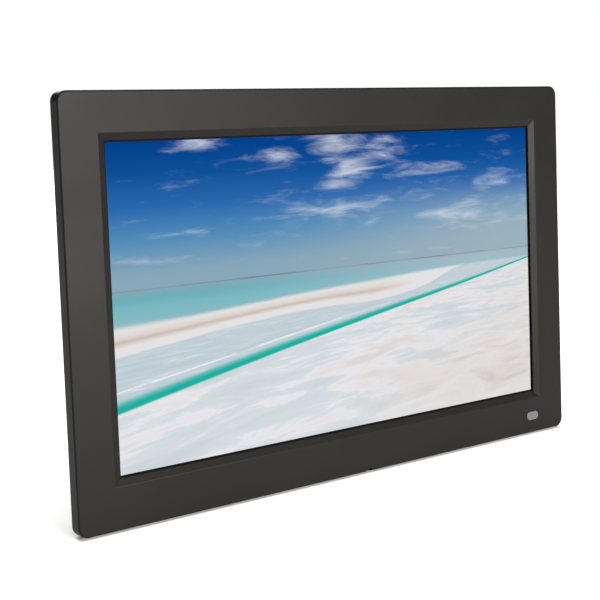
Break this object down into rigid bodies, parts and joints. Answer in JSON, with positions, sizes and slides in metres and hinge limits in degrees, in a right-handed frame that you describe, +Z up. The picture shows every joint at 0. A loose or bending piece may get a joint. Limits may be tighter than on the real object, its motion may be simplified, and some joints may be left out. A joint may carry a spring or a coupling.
{
  "type": "digital photo frame",
  "caption": "Wide-bezel digital photo frame with a chamfered picture window, a rear port pocket, keys on the back and a leg that swings out of its recess to stand it up.",
  "frame": {"origin": "middle of the bounding box at the surface that the feet stand on, with the leg swung out", "axes": "+X to the viewer's right along the picture's width, +Y from the picture into the frame, +Z up; the front face leans back 3.5 degrees from +Z"},
  "size_m": [0.3452, 0.1054, 0.2181],
  "materials": {
    "front_plastic": "satin, fine grain",
    "rear_plastic": "fine spark-eroded texture",
    "button_plastic": "smooth, slightly glossy",
    "smoked_window": "translucent smoked grey",
    "display_glass": "anti-glare, shows a beach picture when lit",
    "light_guide_acrylic": "clear, polished",
    "white_film": "diffuse white",
    "bright_steel": "zinc-plated sheet",
    "screw_steel": "black oxide",
    "board_laminate": "green solder mask",
    "wire_sheath": "smooth PVC",
    "ribbon_film": "white film",
    "soft_rubber": "soft, matte",
    "black_moulding": "moulded, satin"
  },
  "bodies": {
    "frame_body": {"board_screw_1": "screw_steel", "board_screw_2": "screw_steel", "bracket_screw_1": "screw_steel", "bracket_screw_2": "screw_steel", "bracket_screw_3": "screw_steel", "bracket_screw_4": "screw_steel", "card_slot": "bright_steel", "case_screw_1": "screw_steel", "case_screw_2": "screw_steel", "case_screw_3": "screw_steel", "case_screw_4": "screw_steel", "case_screw_5": "screw_steel", "case_screw_6": "screw_steel", "coin_cell": "bright_steel", "coin_cell_holder": "black_moulding", "earphone_jack": "black_moulding", "foot_left": "soft_rubber", "foot_right": "soft_rubber", "front_bezel": "front_plastic", "ir_board": "board_laminate", "ir_receiver": "black_moulding", "ir_window": "smoked_window", "ir_wire": "wire_sheath", "key_board": "board_laminate", "key_flex": "ribbon_film", "lcd_bracket_left": "bright_steel", "lcd_bracket_right": "bright_steel", "lcd_cell": "display_glass", "lcd_chassis": "bright_steel", "lcd_driver_board": "board_laminate", "lcd_flex": "ribbon_film", "lcd_front_frame": "bright_steel", "led_bar": "white_film", "light_guide": "light_guide_acrylic", "main_board": "board_laminate", "memory_chip": "black_moulding", "mini_usb_socket": "bright_steel", "optical_films": "white_film", "power_jack": "black_moulding", "power_switch": "black_moulding", "processor": "black_moulding", "rear_cover": "rear_plastic", "reflector_sheet": "white_film", "speaker_left": "black_moulding", "speaker_right": "black_moulding", "speaker_wire_left": "wire_sheath", "speaker_wire_right": "wire_sheath", "stand_hinge_pin": "bright_steel", "usb_socket": "bright_steel"},
    "stand_leg": {"stand_leg": "rear_plastic", "stand_pad": "soft_rubber"},
    "power_switch_knob": {"power_switch_knob": "button_plastic"},
    "button_down": {"button_down": "button_plastic"},
    "button_exit": {"button_exit": "button_plastic"},
    "button_left": {"button_left": "button_plastic"},
    "button_menu": {"button_menu": "button_plastic"},
    "button_ok": {"button_ok": "button_plastic"},
    "button_right": {"button_right": "button_plastic"},
    "button_up": {"button_up": "button_plastic"}
  },
  "joints": [
    {"name": "stand_swing", "type": "hinge", "parent": "frame_body", "child": "stand_leg", "pos_m": [0, -0.02821, 0.03311], "axis": [0, 0.061, 0.9981], "range_deg": [0, 90]},
    {"name": "button_down_press", "type": "slide", "parent": "frame_body", "child": "button_down", "axis": [0, -0.9981, 0.061], "range_m": [0, 0.0006], "stiffness_N_per_m": 1500},
    {"name": "button_exit_press", "type": "slide", "parent": "frame_body", "child": "button_exit", "axis": [0, -0.9981, 0.061], "range_m": [0, 0.0006], "stiffness_N_per_m": 1500},
    {"name": "button_left_press", "type": "slide", "parent": "frame_body", "child": "button_left", "axis": [0, -0.9981, 0.061], "range_m": [0, 0.0006], "stiffness_N_per_m": 1500},
    {"name": "button_menu_press", "type": "slide", "parent": "frame_body", "child": "button_menu", "axis": [0, -0.9981, 0.061], "range_m": [0, 0.0006], "stiffness_N_per_m": 1500},
    {"name": "button_ok_press", "type": "slide", "parent": "frame_body", "child": "button_ok", "axis": [0, -0.9981, 0.061], "range_m": [0, 0.0006], "stiffness_N_per_m": 1500},
    {"name": "button_right_press", "type": "slide", "parent": "frame_body", "child": "button_right", "axis": [0, -0.9981, 0.061], "range_m": [0, 0.0006], "stiffness_N_per_m": 1500},
    {"name": "button_up_press", "type": "slide", "parent": "frame_body", "child": "button_up", "axis": [0, -0.9981, 0.061], "range_m": [0, 0.0006], "stiffness_N_per_m": 1500},
    {"name": "power_switch_slide", "type": "slide", "parent": "frame_body", "child": "power_switch_knob", "axis": [0, 0.061, 0.9981], "range_m": [0, 0.0025]}
  ]
}
